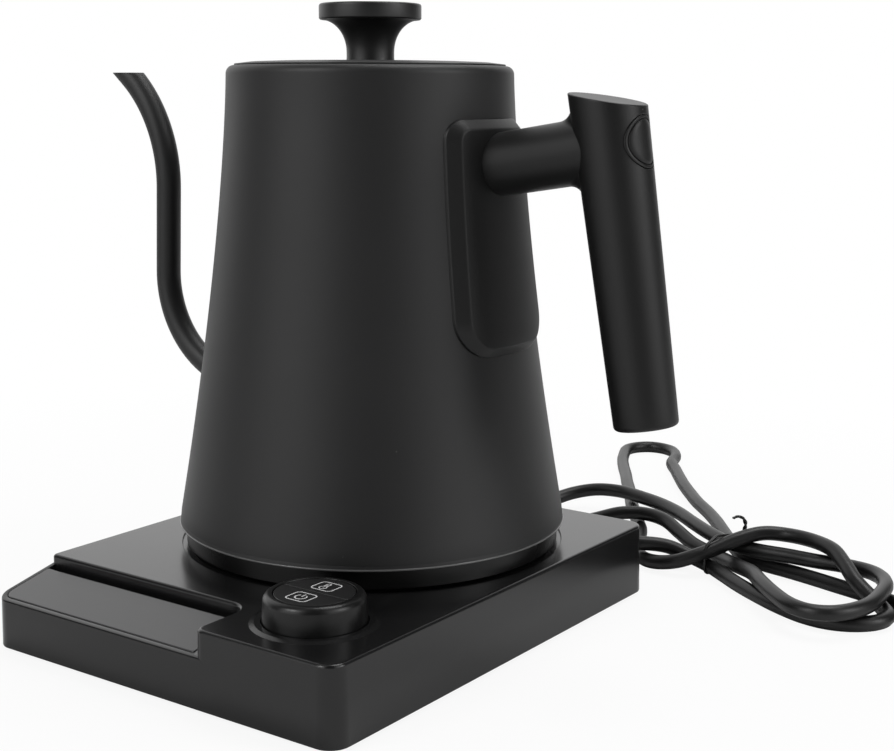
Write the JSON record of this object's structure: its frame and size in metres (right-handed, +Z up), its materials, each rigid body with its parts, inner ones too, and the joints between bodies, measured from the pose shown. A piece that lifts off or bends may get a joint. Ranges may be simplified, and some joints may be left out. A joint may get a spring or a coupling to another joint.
{
  "type": "electric gooseneck kettle",
  "caption": "Cordless electric kettle with a bell-shaped body, gooseneck spout, T-shaped handle and lift-off lid, on a corded heating base with a dial, two half-disc buttons and a display.",
  "frame": {"origin": "middle of the base's footprint, on the table under the feet", "axes": "+X towards the handle side, -Y towards the controls, +Z up"},
  "size_m": [0.3891, 0.431, 0.239],
  "materials": {
    "black_coating": "matte black coated steel",
    "bare_steel": "bare steel",
    "heater_aluminium": "cast aluminium",
    "ceramic": "ceramic-filled thermostat case",
    "foot_plastic": "matte heat-resistant plastic",
    "handle_plastic": "fine matte plastic",
    "knob_plastic": "satin plastic",
    "silicone": "silicone rubber",
    "coupler_plastic": "moulded plastic",
    "base_plastic": "satin plastic",
    "underside_plastic": "matte plastic",
    "foot_rubber": "rubber",
    "panel_gloss": "smoked gloss plastic",
    "display_glass": "display module",
    "circuit_board": "circuit board",
    "component_blue": "electrical parts",
    "contact_brass": "brass",
    "dial_plastic": "satin plastic",
    "button_plastic": "satin plastic with light icons",
    "cord_sheath": "satin PVC",
    "tie_plastic": "plastic-coated wire tie"
  },
  "bodies": {
    "base": {"base_housing": "base_plastic", "base_bottom_plate": "underside_plastic", "base_screws": "bare_steel", "rubber_feet": "foot_rubber", "display_panel": "panel_gloss", "display_module": "display_glass", "control_board": "circuit_board", "power_board": "circuit_board", "power_parts": "component_blue", "base_coupler": "coupler_plastic", "coupler_contacts": "contact_brass", "dial_encoder": "coupler_plastic", "button_carrier": "coupler_plastic", "button_switches": "coupler_plastic", "cord_gland": "cord_sheath", "power_cord": "cord_sheath", "cord_hank": "cord_sheath", "plug_lead": "cord_sheath", "cord_tie": "tie_plastic", "plug_body": "cord_sheath", "plug_pins": "contact_brass"},
    "dial": {"dial_ring": "dial_plastic"},
    "power_button": {"power_button": "button_plastic"},
    "temperature_button": {"temperature_button": "button_plastic"},
    "coupling": {"coupler_socket": "coupler_plastic"},
    "kettle": {"kettle_body": "black_coating", "spout": "black_coating", "kettle_floor": "bare_steel", "heater_plate": "heater_aluminium", "heating_element": "bare_steel", "temperature_sensor": "bare_steel", "thermal_cutout": "ceramic", "foot_ring": "foot_plastic", "kettle_bottom_cover": "foot_plastic", "bottom_cover_screws": "bare_steel", "handle_bracket": "bare_steel", "handle_pad": "handle_plastic", "handle": "handle_plastic", "handle_bolt": "bare_steel", "grip_cap": "handle_plastic"},
    "lid": {"lid_plate": "black_coating", "lid_skirt": "foot_plastic", "lid_seal": "silicone", "lid_knob": "knob_plastic", "lid_screw": "bare_steel"}
  },
  "joints": [
    {"name": "kettle_lift", "type": "slide", "parent": "base", "child": "coupling", "axis": [0, 0, 1], "range_m": [0, 0.25]},
    {"name": "kettle_turn", "type": "hinge", "parent": "coupling", "child": "kettle", "pos_m": [0, 0.0225, 0.03], "axis": [0, 0, 1], "continuous": true},
    {"name": "lid_lift", "type": "slide", "parent": "kettle", "child": "lid", "axis": [0, 0, 1], "range_m": [0, 0.06]},
    {"name": "dial_turn", "type": "hinge", "parent": "base", "child": "dial", "pos_m": [0.0497, -0.0717, 0.03], "axis": [0, 0, -1], "continuous": true},
    {"name": "power_press", "type": "slide", "parent": "base", "child": "power_button", "axis": [0, 0, -1], "range_m": [0, 0.0008], "stiffness_N_per_m": 1800, "springref_m": -0.0005},
    {"name": "temperature_press", "type": "slide", "parent": "base", "child": "temperature_button", "axis": [0, 0, -1], "range_m": [0, 0.0008], "stiffness_N_per_m": 1800, "springref_m": -0.0005}
  ]
}
